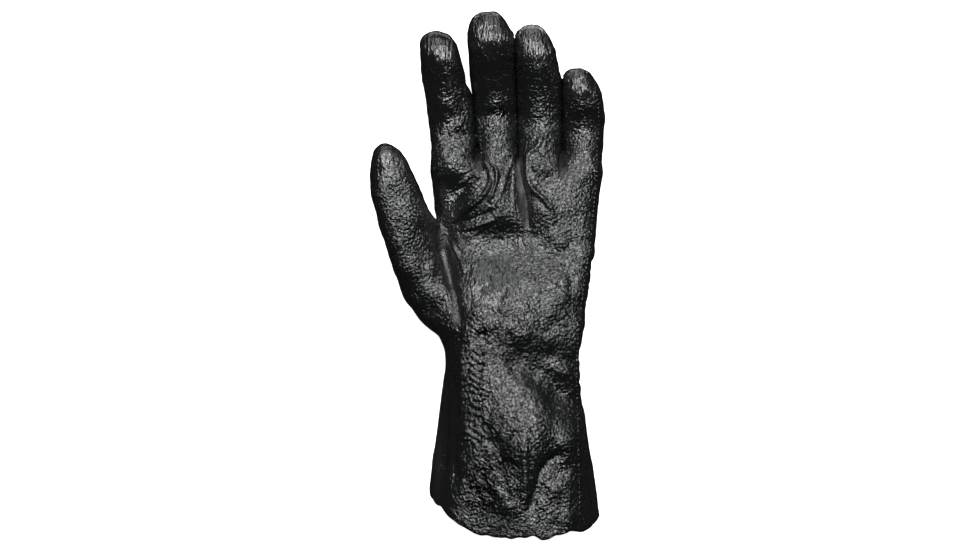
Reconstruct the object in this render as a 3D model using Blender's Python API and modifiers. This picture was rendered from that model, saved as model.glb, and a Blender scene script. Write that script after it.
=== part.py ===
"""A left-hand work glove: black PVC on a knitted fabric, dipped in one piece with a gauntlet cuff.

Blender 4.5 script, in metres, +Z up. The glove lies on its back: the palm faces up, the fingers
point to +Y and the thumb to -X. The origin is on the table, under the middle of the glove's box.

The glove is one hollow shell. A coarse cage of rings, from the hem to the fingertips, is smoothed
by a Subdivision Surface, dented and folded by the rows of two tables, pressed flat where it
rests, and given its wall by Solidify.
"""

import math

import bmesh
import bpy
from mathutils import Vector

# Cuff and palm
CUFF_LENGTH = 0.0995  # lowest point of the hem to the wrist
CUFF_WIDTH = 0.1019
CUFF_DEPTH = 0.0720
WRIST_WIDTH = 0.0792
WRIST_DEPTH = 0.0560
PALM_LENGTH = 0.1145  # wrist to the fork of the fingers
HEEL_DEPTH = 0.0550  # palm, back to front, at its heel
KNUCKLE_DEPTH = 0.0330  # palm, back to front, at the fork of the fingers

# Fingers, measured from the fork; each width is the finger's place in the row
INDEX_LENGTH = 0.0795
INDEX_WIDTH = 0.0263
MIDDLE_LENGTH = 0.0910
MIDDLE_WIDTH = 0.0252
RING_LENGTH = 0.0835
RING_WIDTH = 0.0266
LITTLE_LENGTH = 0.0625
LITTLE_WIDTH = 0.0242
FINGER_DEPTH = 0.0245
FINGER_GAP = 0.0008  # daylight between two neighbouring fingers

# Thumb, measured from the middle of its root in the side of the palm
THUMB_LENGTH = 0.0860
THUMB_WIDTH = 0.0280
THUMB_DEPTH = 0.0270

# Skin
WALL = 0.0018
REST_PRESS = 0.0016  # how far the soft back is pressed flat where it lies on the table

# The thumb leaves the palm's side between these two rings of the palm, counted from the wrist
THUMB_FIRST_RING = 1
THUMB_LAST_RING = 5

# Angles, in degrees, of a body ring's points over the palm side, from the thumb side across. The
# same angles, turned over, serve the back. Two more points lie on the sides, at 180 and 0.
FRONT_ANGLES = (148, 131, 116, 103, 90, 77, 64, 49, 32)

# A cubic surface runs inside its cage. These factors put the smoothed ring on its stated size.
EIGHT_POINT_GROWTH = 1 / (0.75 + 0.25 * math.cos(math.radians(45)))
THUMB_GROWTH = 1 / (0.75 + 0.25 * math.cos(math.radians(30)))
BODY_GROWTH = 1.022

# How far the hem stands above its lowest point, going round it: a share of CUFF_LENGTH
HEM = (
    # angle, rise
    (180, 0.240),
    (148, 0.165),
    (131, 0.076),
    (116, 0.020),
    (103, 0.010),
    (90, 0.009),
    (77, 0.000),
    (64, 0.010),
    (49, 0.040),
    (32, 0.048),
    (0, 0.095),
    (-32, 0.110),
    (-49, 0.110),
    (-64, 0.120),
    (-77, 0.120),
    (-90, 0.130),
    (-103, 0.140),
    (-116, 0.160),
    (-131, 0.190),
    (-148, 0.220),
)

# Rings of the cuff. along: share of CUFF_LENGTH from the hem. flare: 1 at the hem's size, 0 at
# the wrist's. shift: share of CUFF_WIDTH towards +X. lift: share of CUFF_DEPTH off the table.
CUFF_RINGS = (
    # along, flare, shift, lift
    (0.00, 1.00, 0.027, -0.012),
    (0.12, 0.93, 0.021, -0.010),
    (0.26, 0.80, 0.019, -0.006),
    (0.40, 0.62, 0.017, 0.004),
    (0.54, 0.43, 0.012, 0.018),
    (0.68, 0.26, 0.006, 0.034),
    (0.82, 0.09, 0.004, 0.046),
    (0.93, 0.00, 0.005, 0.054),
)

# Rings of the palm. along: share of PALM_LENGTH from the wrist. spread: 0 at the wrist's width,
# 1 at the row of fingers. depth: share of the way from the heel's to the knuckles'. shift: share
# of the row of fingers towards +X. lift: share of HEEL_DEPTH off the table. square: how boxy.
PALM_RINGS = (
    # along, spread, depth, shift, lift, square
    (0.00, 0.00, 0.00, 0.010, 0.070, 0.98),
    (0.14, 0.16, 0.02, 0.016, 0.040, 0.95),
    (0.28, 0.25, 0.12, 0.017, 0.010, 0.92),
    (0.42, 0.41, 0.30, 0.026, -0.012, 0.90),
    (0.55, 0.55, 0.50, 0.032, -0.024, 0.88),
    (0.69, 0.66, 0.70, 0.036, -0.028, 0.86),
    (0.77, 0.82, 0.82, 0.042, -0.028, 0.85),
    (0.84, 0.91, 0.90, 0.045, -0.028, 0.84),
    (0.90, 0.96, 0.95, 0.047, -0.028, 0.84),
)
KNUCKLE_SHIFT = 0.050  # of the row of fingers towards +X, as a share of its width

# The four fingers. fork: how far the finger's root stands past the fork, as a share of
# PALM_LENGTH. lean: degrees towards the thumb at the tip. bend: 1 leans evenly from the root, more
# keeps the lean for the tip. low: height of the finger's underside, as a share of FINGER_DEPTH.
# curl: how far the tip rises, as a share of the finger's length. bulb: swelling of the tip.
FINGERS = (
    # name, length, width, fork, lean, bend, low, curl, bulb
    ("index", INDEX_LENGTH, INDEX_WIDTH, -0.005, 7.2, 1.6, 0.02, 0.15, 1.01),
    ("middle", MIDDLE_LENGTH, MIDDLE_WIDTH, 0.000, 3.0, 1.3, 0.00, 0.17, 1.15),
    ("ring", RING_LENGTH, RING_WIDTH, -0.005, 3.5, 3.0, 0.00, 0.17, 1.00),
    ("little", LITTLE_LENGTH, LITTLE_WIDTH, -0.045, 2.2, 5.0, 0.02, 0.18, 1.03),
)

# Rings of a finger. along: share of its length past the root. width, depth: shares of its own
# and of FINGER_DEPTH. bulb: share of the finger's own swelling. rise: share of its curl.
FINGER_RINGS = (
    # along, width, depth, bulb, rise
    (0.09, 1.00, 1.14, 0.00, 0.00),
    (0.25, 1.00, 1.01, 0.00, 0.00),
    (0.44, 1.00, 0.94, 0.30, 0.08),
    (0.61, 1.01, 0.97, 0.65, 0.32),
    (0.76, 1.00, 1.02, 1.00, 0.62),
    (0.89, 0.92, 0.90, 1.00, 0.80),
    (0.970, 0.67, 0.62, 1.00, 0.84),
)
FINGER_TIP = 1.016  # the last point stands past the end, because the smoothing draws it back
FINGER_TIP_RISE = 0.84
FORK_DEPTH = 0.62  # height of the fork's front and back points, as a share of the finger's
FORK_SADDLE = 0.0025  # how far the middle of the fork hangs below its front and back
FORK_CORNER = 0.04  # how far the row's outer corners stand in from its ends, as a share of a finger

# Rings of the thumb, as seen from above. along, aside: shares of THUMB_LENGTH towards the
# fingers and away from the palm. width: half the ring's length over THUMB_WIDTH. turn: degrees
# from lying across the glove. depth: half over THUMB_DEPTH. lift: share of THUMB_LENGTH upwards.
THUMB_RINGS = (
    # along, aside, width, turn, depth, lift
    (0.045, 0.102, 1.110, 82, 0.56, 0.020),
    (0.126, 0.180, 0.945, 71, 0.58, 0.045),
    (0.268, 0.234, 0.765, 59, 0.58, 0.075),
    (0.419, 0.281, 0.606, 43, 0.55, 0.102),
    (0.579, 0.328, 0.520, 27, 0.50, 0.125),
    (0.735, 0.372, 0.432, 19, 0.44, 0.142),
    (0.865, 0.402, 0.300, 13, 0.33, 0.150),
)
THUMB_TIP = (0.950, 0.416, 0.150)  # along, aside, lift

# Broad dents and swellings. across: share of half the row of fingers, 0 at the glove's axis.
# station: 0 hem, 1 wrist, 2 fork, 3 middle fingertip. wide, long: reach, as shares of half the
# row of fingers. height: share of KNUCKLE_DEPTH, negative inwards.
DENTS = (
    # across, station, wide, long, height
    (-0.06, 1.62, 0.44, 0.23, -0.20),  # hollow of the palm
    (-0.66, 1.30, 0.30, 0.48, 0.09),  # ball of the thumb
    (0.69, 1.44, 0.28, 0.70, 0.08),  # outer edge of the palm
    (-0.05, 1.24, 0.40, 0.26, 0.06),  # heel of the palm
    (-0.14, 1.90, 0.20, 0.15, 0.06),  # pad under the middle finger
    (0.73, 1.81, 0.22, 0.22, 0.06),  # pad under the little finger
    (0.20, 0.66, 0.36, 0.36, 0.15),  # bulge of the cuff's front
    (0.72, 0.78, 0.24, 0.28, -0.08),  # pinch beside it
    (-0.20, 0.34, 0.26, 0.40, -0.05),  # slack of the cuff's front
)

# Folds of the palm side: curves from a first point through a middle one to a last. across and
# station as above. reach: half width over half the row of fingers. height: as above.
FOLDS = (
    # across 1, station 1, across 2, station 2, across 3, station 3, reach, height
    (-0.84, 1.69, -0.74, 1.55, -0.61, 1.35, 0.090, -0.15),  # crease round the thumb's root
    (-0.64, 1.81, -0.49, 1.88, -0.35, 1.96, 0.070, -0.11),  # valley under the index finger
    (-0.58, 1.73, -0.28, 1.85, -0.17, 2.00, 0.070, 0.085),  # first rib of the palm's fan
    (-0.58, 1.65, -0.35, 1.67, -0.10, 1.71, 0.070, 0.060),  # second rib
    (0.07, 1.99, 0.10, 1.84, 0.19, 1.70, 0.080, -0.12),  # groove below the two middle fingers
    (0.47, 2.14, 0.21, 1.95, 0.44, 1.74, 0.075, 0.070),  # rib below the ring finger
    (0.32, 1.52, 0.62, 1.51, 0.92, 1.52, 0.065, -0.050),  # crease in the outer edge
    (-0.30, 1.08, 0.20, 1.03, 0.74, 1.00, 0.120, -0.055),  # crease of the wrist
    (0.09, 1.00, 0.50, 0.85, 0.80, 0.56, 0.110, -0.15),  # slanting valley of the cuff
    (0.62, 0.49, 0.41, 0.39, 0.27, 0.17, 0.090, -0.13),  # sharp fold near the hem
    (-0.56, 0.99, -0.58, 0.62, -0.56, 0.24, 0.115, -0.20),  # seam valley, thumb side
    (0.75, 0.95, 0.78, 0.56, 0.80, 0.16, 0.085, -0.11),  # seam valley, outer side
)
FOLD_FADE = 0.22  # share of a fold's length over which each end dies away
FOLD_END = 0.25  # how much of a fold is left at its very end
FULLY_FACING = 0.5  # upward part of the normal from which a place has its dents and folds in full

SKIN_COLOUR = (0.012, 0.012, 0.013, 1.0)
SKIN_ROUGHNESS = 0.38


def row_of_fingers():
    """The width of the four fingers side by side, which is the palm's width at the fork."""
    return sum(finger[2] for finger in FINGERS)


def station_y(station):
    """The height up the glove of a station: 0 hem, 1 wrist, 2 fork, 3 middle fingertip."""
    stretches = (CUFF_LENGTH, PALM_LENGTH, MIDDLE_LENGTH)
    return sum(
        length * min(max(station - start, 0), 1) for start, length in enumerate(stretches)
    )


def ring_angles():
    """A body ring's angles, from the thumb side over the palm side and back along the back."""
    back = [-angle for angle in reversed(FRONT_ANGLES)]
    return [*FRONT_ANGLES, 0, *back, 180]


def body_ring(bm, width, depth, shift, lift, square, heights):
    """Twenty points round the cuff or the palm, at one height each."""
    half_width = width / 2 * BODY_GROWTH
    half_depth = depth / 2 * BODY_GROWTH
    points = []
    for angle, y in zip(ring_angles(), heights):
        across = math.cos(math.radians(angle))
        upright = math.sin(math.radians(angle))
        x = shift + half_width * math.copysign(abs(across) ** square, across)
        z = lift + depth / 2 + half_depth * math.copysign(abs(upright) ** square, upright)
        points.append(bm.verts.new((x, y, z)))
    return points


def loft(bm, lower, upper, skip=()):
    """Faces between two rings of the same count, apart from those whose number is in skip."""
    count = len(lower)
    for i in range(count):
        if i not in skip:
            j = (i + 1) % count
            bm.faces.new((lower[i], upper[i], upper[j], lower[j]))


def close_tip(bm, ring, point):
    """Four-sided faces that close a ring of an even count on one point."""
    tip = bm.verts.new(point)
    count = len(ring)
    for i in range(0, count, 2):
        bm.faces.new((ring[i - 1], tip, ring[(i + 1) % count], ring[i]))


def cuff_rings(bm):
    """Rings from the slanting hem up to just below the wrist."""
    hem_rise = dict(HEM)
    rings = []
    for along, flare, shift, lift in CUFF_RINGS:
        width = WRIST_WIDTH + flare * (CUFF_WIDTH - WRIST_WIDTH)
        depth = WRIST_DEPTH + flare * (CUFF_DEPTH - WRIST_DEPTH)
        heights = []
        for angle in ring_angles():
            rise = hem_rise[angle]
            heights.append(CUFF_LENGTH * (rise + along * (1 - rise)))
        rings.append(
            body_ring(bm, width, depth, shift * CUFF_WIDTH, lift * CUFF_DEPTH, 1.0, heights)
        )
    return rings


def palm_rings(bm):
    """Rings from the wrist to just below the fork of the fingers."""
    row = row_of_fingers()
    rings = []
    for along, spread, deep, shift, lift, square in PALM_RINGS:
        width = WRIST_WIDTH + spread * (row - WRIST_WIDTH)
        depth = HEEL_DEPTH + deep * (KNUCKLE_DEPTH - HEEL_DEPTH)
        heights = [CUFF_LENGTH + along * PALM_LENGTH] * len(ring_angles())
        rings.append(
            body_ring(bm, width, depth, shift * row, lift * HEEL_DEPTH, square, heights)
        )
    return rings


def finger_roots(bm):
    """The points of the fork: a dictionary from (column, layer) to a point.

    Columns run from the thumb side across, two to a finger, so that even ones lie between two
    fingers. Layers are "front", "side" and "back".
    """
    row = row_of_fingers()
    left = -row / 2 + KNUCKLE_SHIFT * row
    edges = [left]
    for finger in FINGERS:
        edges.append(edges[-1] + finger[2])
    forks = [finger[3] for finger in FINGERS]
    points = {}
    middle = KNUCKLE_DEPTH / 2 - REST_PRESS
    half_depth = KNUCKLE_DEPTH / 2 * BODY_GROWTH
    for column in range(2 * len(FINGERS) + 1):
        finger, between = divmod(column, 2)
        beside = forks[max(finger - 1, 0)]
        here = forks[min(finger, len(FINGERS) - 1)]
        outer = column in (0, 2 * len(FINGERS))
        if between:
            x = (edges[finger] + edges[finger + 1]) / 2
            share = 1.0
            y = station_y(2) + here * PALM_LENGTH
        else:
            x = edges[finger]
            share = FORK_DEPTH
            y = station_y(2) + (beside + here) / 2 * PALM_LENGTH
        if outer:
            x -= math.copysign(FORK_CORNER * FINGERS[min(finger, len(FINGERS) - 1)][2], x)
        points[column, "front"] = bm.verts.new((x, y, middle + share * half_depth))
        points[column, "back"] = bm.verts.new((x, y, middle - share * half_depth))
        if outer:
            growth = math.copysign(row / 2 * (BODY_GROWTH - 1), x)
            points[column, "side"] = bm.verts.new((edges[finger] + growth, y, middle))
        elif not between:
            points[column, "side"] = bm.verts.new((x, y - FORK_SADDLE, middle))
    return points


def fork_ring(roots):
    """The fork's outer points in the order of a body ring."""
    last = 2 * len(FINGERS)
    front = [roots[column, "front"] for column in range(last + 1)]
    back = [roots[column, "back"] for column in range(last, -1, -1)]
    return [*front, roots[last, "side"], *back, roots[0, "side"]]


def finger_root_ring(roots, number):
    """The eight points of the fork from which one finger grows."""
    left, middle, right = 2 * number, 2 * number + 1, 2 * number + 2
    return [
        roots[left, "front"],
        roots[middle, "front"],
        roots[right, "front"],
        roots[right, "side"],
        roots[right, "back"],
        roots[middle, "back"],
        roots[left, "back"],
        roots[left, "side"],
    ]


def add_finger(bm, roots, number):
    """Eight-sided rings up one finger, closed at the tip."""
    _, length, width, fork, lean, bend, low, curl, bulb = FINGERS[number]
    lower = finger_root_ring(roots, number)
    root_x = (lower[0].co.x + lower[2].co.x) / 2
    if number == 0:
        root_x = lower[2].co.x - width / 2
    if number == len(FINGERS) - 1:
        root_x = lower[0].co.x + width / 2
    root_y = station_y(2) + fork * PALM_LENGTH
    slope = math.tan(math.radians(lean))
    underside = low * FINGER_DEPTH
    for along, wide, deep, swell, rise in FINGER_RINGS:
        swelling = 1 + swell * (bulb - 1)
        half_width = (width * wide * swelling - FINGER_GAP) / 2 * EIGHT_POINT_GROWTH
        half_depth = FINGER_DEPTH * deep * swelling / 2
        centre = Vector((root_x - slope * along**bend * length, root_y + along * length, 0))
        centre.z = underside + FINGER_DEPTH / 2 * max(deep, 1) + rise * curl * length
        half_depth *= EIGHT_POINT_GROWTH
        upper = []
        for i in range(8):
            turn = math.radians(135 - 45 * i)
            out = Vector((half_width * math.cos(turn), 0, half_depth * math.sin(turn)))
            upper.append(bm.verts.new(centre + out))
        loft(bm, lower, upper)
        lower = upper
    top = FINGER_TIP * length
    rise = underside + FINGER_DEPTH / 2 + FINGER_TIP_RISE * curl * length
    close_tip(bm, lower, (root_x - slope * length, root_y + top, rise))


def thumb_root_ring(rings):
    """The ten points round the hole in the palm's side from which the thumb grows."""
    rows = rings[THUMB_FIRST_RING : THUMB_LAST_RING + 1]
    side, front, back = len(rings[0]) - 1, 0, len(rings[0]) - 2
    first, last = rows[0], rows[-1]
    return [
        first[side],
        first[front],
        *(row[front] for row in rows[1:-1]),
        last[front],
        last[side],
        last[back],
        *(row[back] for row in reversed(rows[1:-1])),
        first[back],
    ]


def add_thumb(bm, rings):
    """Rings up the thumb, which fan out from its long root in the side of the palm."""
    lower = thumb_root_ring(rings)
    count = len(lower)
    root = sum((vert.co for vert in lower), Vector()) / count
    for along, aside, wide, turn, deep, lift in THUMB_RINGS:
        centre = root + THUMB_LENGTH * Vector((-aside, along, lift))
        outward = Vector((-math.cos(math.radians(turn)), -math.sin(math.radians(turn)), 0))
        upper = []
        for i in range(count):
            angle = 2 * math.pi * i / count
            reach = outward * (wide * THUMB_WIDTH * THUMB_GROWTH * math.cos(angle))
            height = deep * THUMB_DEPTH * THUMB_GROWTH * math.sin(angle)
            upper.append(bm.verts.new(centre + reach + Vector((0, 0, height))))
        loft(bm, lower, upper)
        lower = upper
    along, aside, lift = THUMB_TIP
    close_tip(bm, lower, root + THUMB_LENGTH * Vector((-aside, along, lift)))


def glove_cage():
    """The coarse cage of the whole glove, open at the hem."""
    bm = bmesh.new()
    cuff = cuff_rings(bm)
    palm = palm_rings(bm)
    roots = finger_roots(bm)
    body = [*cuff, *palm, fork_ring(roots)]
    side = len(body[0]) - 1
    for number, (lower, upper) in enumerate(zip(body, body[1:])):
        in_thumb = THUMB_FIRST_RING <= number - len(cuff) < THUMB_LAST_RING
        loft(bm, lower, upper, skip=(side, side - 1) if in_thumb else ())
    for number in range(len(FINGERS)):
        add_finger(bm, roots, number)
    add_thumb(bm, palm)
    inside_thumb_root = [vert for vert in bm.verts if not vert.link_faces]
    bmesh.ops.delete(bm, geom=inside_thumb_root, context="VERTS")
    bmesh.ops.recalc_face_normals(bm, faces=bm.faces)
    mesh = bpy.data.meshes.new("glove_cage")
    bm.to_mesh(mesh)
    bm.free()
    return mesh


def smoothed(mesh):
    """The cage's mesh with one level of Subdivision Surface applied."""
    cage = bpy.data.objects.new("glove_cage", mesh)
    bpy.context.scene.collection.objects.link(cage)
    smoothing = cage.modifiers.new("smoothing", "SUBSURF")
    smoothing.levels = smoothing.render_levels = 1
    graph = bpy.context.evaluated_depsgraph_get()
    result = bpy.data.meshes.new_from_object(cage.evaluated_get(graph))
    bpy.data.objects.remove(cage)
    return result


def bell(distance):
    """1 at no distance, falling smoothly to 0 at a distance of about 2."""
    return math.exp(-(distance**2))


def dent_height(x, y):
    """What the broad dents and swellings add at a place on the palm side."""
    half_row = row_of_fingers() / 2
    total = 0
    for across, station, wide, long, height in DENTS:
        dx = (x - across * half_row) / (wide * half_row)
        dy = (y - station_y(station)) / (long * half_row)
        total += height * KNUCKLE_DEPTH * bell(math.hypot(dx, dy))
    return total


def fold_points(fold, steps=16):
    """Points along a fold's curve, which passes through its three given points."""
    half_row = row_of_fingers() / 2
    first, middle, last = (
        Vector((fold[i] * half_row, station_y(fold[i + 1]))) for i in (0, 2, 4)
    )
    control = 2 * middle - (first + last) / 2
    points = []
    for step in range(steps + 1):
        t = step / steps
        points.append((1 - t) ** 2 * first + 2 * t * (1 - t) * control + t**2 * last)
    return points


def fold_height(x, y, fold, points):
    """What one fold adds at a place on the palm side."""
    place = Vector((x, y))
    distances = [(place - point).length for point in points]
    nearest = min(range(len(points)), key=distances.__getitem__)
    share = nearest / (len(points) - 1)
    fade = min(share, 1 - share) / FOLD_FADE
    reach, height = fold[6:]
    strength = bell(distances[nearest] / (reach * row_of_fingers() / 2))
    return height * KNUCKLE_DEPTH * strength * min(max(fade, FOLD_END), 1)


def evened(heights, mesh):
    """The heights again, each drawn half way to the mean of its neighbours'."""
    around = [[] for _ in heights]
    for edge in mesh.edges:
        first, second = edge.vertices
        around[first].append(heights[second])
        around[second].append(heights[first])
    return [(height + sum(near) / len(near)) / 2 for height, near in zip(heights, around)]


def dent_and_fold(mesh):
    """Moves the palm side's points up and down by the dents and folds."""
    curves = [(fold, fold_points(fold)) for fold in FOLDS]
    heights = []
    for vert in mesh.vertices:
        x, y = vert.co.x, vert.co.y
        height = dent_height(x, y)
        height += sum(fold_height(x, y, fold, points) for fold, points in curves)
        facing = min(max(vert.normal.z / FULLY_FACING, 0), 1)
        heights.append(height * facing)
    for vert, height in zip(mesh.vertices, evened(heights, mesh)):
        vert.co.z += height


def lay_on_table(mesh):
    """Centres the glove over the origin and flattens what would sink into the table."""
    lows, highs = [], []
    for axis in range(3):
        values = [vert.co[axis] for vert in mesh.vertices]
        lows.append(min(values))
        highs.append(max(values))
    shift = Vector((-(lows[0] + highs[0]) / 2, -(lows[1] + highs[1]) / 2, 0))
    for vert in mesh.vertices:
        vert.co += shift
        vert.co.z = max(vert.co.z, 0)


def skin_material():
    """Black PVC with a wet sheen."""
    material = bpy.data.materials.new("black_pvc")
    material.use_nodes = True
    shader = material.node_tree.nodes["Principled BSDF"]
    shader.inputs["Base Color"].default_value = SKIN_COLOUR
    shader.inputs["Roughness"].default_value = SKIN_ROUGHNESS
    shader.inputs["Metallic"].default_value = 0
    return material


def make_glove():
    """The glove's shell: one object, hollow and open at the hem."""
    mesh = smoothed(glove_cage())
    dent_and_fold(mesh)
    lay_on_table(mesh)
    mesh.name = "glove_shell"
    mesh.materials.append(skin_material())
    mesh.shade_smooth()
    glove = bpy.data.objects.new("glove_shell", mesh)
    wall = glove.modifiers.new("wall", "SOLIDIFY")
    wall.thickness = WALL
    wall.offset = -1
    wall.use_quality_normals = True
    collection = bpy.data.collections.new("work_glove")
    bpy.context.scene.collection.children.link(collection)
    collection.objects.link(glove)
    return glove


def main():
    for thing in list(bpy.data.objects):
        bpy.data.objects.remove(thing)
    make_glove()


main()
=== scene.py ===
# %% [markdown]
# # A black PVC work glove
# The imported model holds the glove's true form: one hollow shell with a cuff, a palm, four fingers
# and a thumb. This lesson gives that shell the skin of the real glove, which is dipped in PVC over
# a knitted liner: deep folds in the palm, small wrinkles all over, stitches that show through the
# coat, a wavy hem, and a wet black gloss. Everything is in metres and in the shell's own frame.

# %% Load the shell
import math

import bmesh
import bpy
import numpy as np
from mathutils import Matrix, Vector, noise
from mathutils.bvhtree import BVHTree


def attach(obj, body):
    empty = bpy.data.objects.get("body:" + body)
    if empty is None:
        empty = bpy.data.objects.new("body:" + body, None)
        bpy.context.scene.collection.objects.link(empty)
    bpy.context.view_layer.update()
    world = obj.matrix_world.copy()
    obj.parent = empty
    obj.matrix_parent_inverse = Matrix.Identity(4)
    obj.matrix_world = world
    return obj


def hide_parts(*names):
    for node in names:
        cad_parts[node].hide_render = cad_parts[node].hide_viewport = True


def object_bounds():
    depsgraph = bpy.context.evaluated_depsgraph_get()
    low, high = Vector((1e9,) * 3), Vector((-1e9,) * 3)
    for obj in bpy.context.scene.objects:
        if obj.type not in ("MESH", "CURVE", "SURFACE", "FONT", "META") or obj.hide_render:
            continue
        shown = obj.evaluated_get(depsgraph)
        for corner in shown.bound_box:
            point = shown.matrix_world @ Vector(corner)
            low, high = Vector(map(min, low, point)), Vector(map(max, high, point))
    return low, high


MM = 0.001
WALL = 1.8 * MM  # thickness of the shell
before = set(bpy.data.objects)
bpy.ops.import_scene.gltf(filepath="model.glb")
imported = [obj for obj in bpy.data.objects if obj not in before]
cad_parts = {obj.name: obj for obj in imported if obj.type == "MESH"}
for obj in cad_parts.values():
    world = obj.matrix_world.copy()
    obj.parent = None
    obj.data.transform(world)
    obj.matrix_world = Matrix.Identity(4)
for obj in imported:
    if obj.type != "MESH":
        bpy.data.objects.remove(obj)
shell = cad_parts["glove_shell"]
cad_low, cad_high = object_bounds()
print("shell", [round(high - low, 4) for low, high in zip(cad_low, cad_high)])

# %% [markdown]
# ## The camera
# The photo is taken from straight above the palm, from far enough away that the glove hardly
# spreads. A camera at that height with a long lens gives the same view. The same numbers also say
# where the photo shows any point of the glove, which is how the folds find their places below.

# %% Camera
PHOTO_SIZE = (978, 550)
CAMERA_HEIGHT = 1.30
FOCUS_HEIGHT = 0.035
METRES_PER_PIXEL = 0.0005813
CAMERA_OVER = (0.0008, -0.0031)
SENSOR = 0.036


def add_camera():
    data = bpy.data.cameras.new("palm_camera")
    data.sensor_width = SENSOR * 1000
    view_width = PHOTO_SIZE[0] * METRES_PER_PIXEL
    data.lens = SENSOR * 1000 * (CAMERA_HEIGHT - FOCUS_HEIGHT) / view_width
    camera = bpy.data.objects.new("palm_camera", data)
    camera.location = (*CAMERA_OVER, CAMERA_HEIGHT)
    bpy.context.scene.collection.objects.link(camera)
    bpy.context.scene.camera = camera
    return camera


def photo_pixels(points):
    """The photo's pixel for each row of an array of points."""
    scale = (CAMERA_HEIGHT - FOCUS_HEIGHT) / METRES_PER_PIXEL / (CAMERA_HEIGHT - points[:, 2])
    across = PHOTO_SIZE[0] / 2 + (points[:, 0] - CAMERA_OVER[0]) * scale
    down = PHOTO_SIZE[1] / 2 - (points[:, 1] - CAMERA_OVER[1]) * scale
    return np.stack([across, down], axis=1)


camera = add_camera()
print("lens", round(camera.data.lens, 1), "mm")

# %% [markdown]
# ## Taking the shell apart
# The shell's mesh is loose triangles. A copy has its doubles merged, and is cut along the two
# sharp edges of the hem. That leaves three sheets: the outside, the inside and the narrow rim. The
# outside will carry all the detail, and the inside can stay much coarser.

# %% Outside and inside
MERGE_GAP = 0.00002
HEM_REACH = 0.045
SHARP = math.radians(50)


def sheets_of_shell():
    """Outside and inside, as two bmeshes, widest sheet first."""
    whole = bmesh.new()
    whole.from_mesh(shell.data)
    bmesh.ops.remove_doubles(whole, verts=whole.verts, dist=MERGE_GAP)
    near_hem = cad_low[1] + HEM_REACH
    cuts = [
        edge
        for edge in whole.edges
        if max(vert.co.y for vert in edge.verts) < near_hem and edge.calc_face_angle(0) > SHARP
    ]
    bmesh.ops.split_edges(whole, edges=cuts)
    whole.faces.index_update()
    unseen, sheets = set(whole.faces), []
    while unseen:
        start = unseen.pop()
        sheet, edge_of_sheet = {start}, [start]
        while edge_of_sheet:
            face = edge_of_sheet.pop()
            for edge in face.edges:
                for other in edge.link_faces:
                    if other in unseen:
                        unseen.discard(other)
                        sheet.add(other)
                        edge_of_sheet.append(other)
        sheets.append(sheet)
    sheets.sort(key=lambda faces: -sum(face.calc_area() for face in faces))
    print("sheets", [len(faces) for faces in sheets][:5])
    parts = []
    for keep in sheets[:2]:
        part = whole.copy()
        wanted = {face.index for face in keep}
        part.faces.ensure_lookup_table()
        drop = [face for face in part.faces if face.index not in wanted]
        bmesh.ops.delete(part, geom=drop, context="FACES")
        bmesh.ops.join_triangles(
            part,
            faces=part.faces,
            angle_face_threshold=math.pi,
            angle_shape_threshold=math.pi,
            topology_influence=1.0,
        )
        parts.append(part)
    whole.free()
    return parts


outside, inside = sheets_of_shell()
print("outside", len(outside.faces), "faces; inside", len(inside.faces))

# %% [markdown]
# ## A finer skin
# Subdivision Surface turns the outside's 6 mm faces into faces of 1.5 mm. It also draws a round
# form inwards, so its cage is let out by as much as it lost, a few times over. Faces of 1.5 mm are
# fine enough for broad folds. Those that hold the palm's narrow folds are divided once again.

# %% Subdivide
FINE_LEVELS = 2
COARSE_LEVELS = 1
LET_OUT_ROUNDS = 3
LARGEST_LOSS = 1.0 * MM  # more is the flat underside sliding within its own plane
FINEST_REGIONS = (
    # photo pixels: left, top, right, bottom
    (440, 122, 560, 288),
    (524, 444, 580, 520),
    (464, 342, 492, 446),
)
PALM_SIDE = 0.1  # least upright part of a palm-side normal


def smoothed_copy(cage):
    """The mesh that an object's modifiers make."""
    graph = bpy.context.evaluated_depsgraph_get()
    return bpy.data.meshes.new_from_object(cage.evaluated_get(graph))


def subdivided(part, name, levels):
    """The sheet, smoothed by a Subdivision Surface whose cage is let out to keep its size."""
    mesh = bpy.data.meshes.new(name)
    part.to_mesh(mesh)
    part.free()
    cage = bpy.data.objects.new(name, mesh)
    bpy.context.scene.collection.objects.link(cage)
    smoothing = cage.modifiers.new("smoothing", "SUBSURF")
    smoothing.levels = smoothing.render_levels = levels
    wanted = [vert.co.copy() for vert in mesh.vertices]
    for _ in range(LET_OUT_ROUNDS):
        result = smoothed_copy(cage)
        losses = [place - vert.co for place, vert in zip(wanted, result.vertices)]
        losses = [loss if loss.length < LARGEST_LOSS else Vector() for loss in losses]
        print(name, "was drawn in by", round(max(loss.length for loss in losses) / MM, 2), "mm")
        for vert, loss in zip(mesh.vertices, losses):
            vert.co += loss
        mesh.update()
    result = smoothed_copy(cage)
    bpy.data.objects.remove(cage)
    bm = bmesh.new()
    bm.from_mesh(result)
    bpy.data.meshes.remove(result)
    return bm


def refine_palm(bm, cuts):
    """Divides the faces once more where the palm side has its narrow folds."""
    bm.normal_update()
    centres = np.array([face.calc_center_median() for face in bm.faces])
    pixels = photo_pixels(centres)
    edges = set()
    for face, (across, down) in zip(bm.faces, pixels):
        if face.normal.z < PALM_SIDE:
            continue
        for left, top, right, bottom in FINEST_REGIONS:
            if left < across < right and top < down < bottom:
                edges.update(face.edges)
    bmesh.ops.subdivide_edges(bm, edges=list(edges), cuts=cuts, use_grid_fill=True)


outside = subdivided(outside, "outside", FINE_LEVELS)
inside = subdivided(inside, "inside", COARSE_LEVELS)
refine_palm(outside, 2)
print("outside", len(outside.faces), "faces; inside", len(inside.faces))

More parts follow.
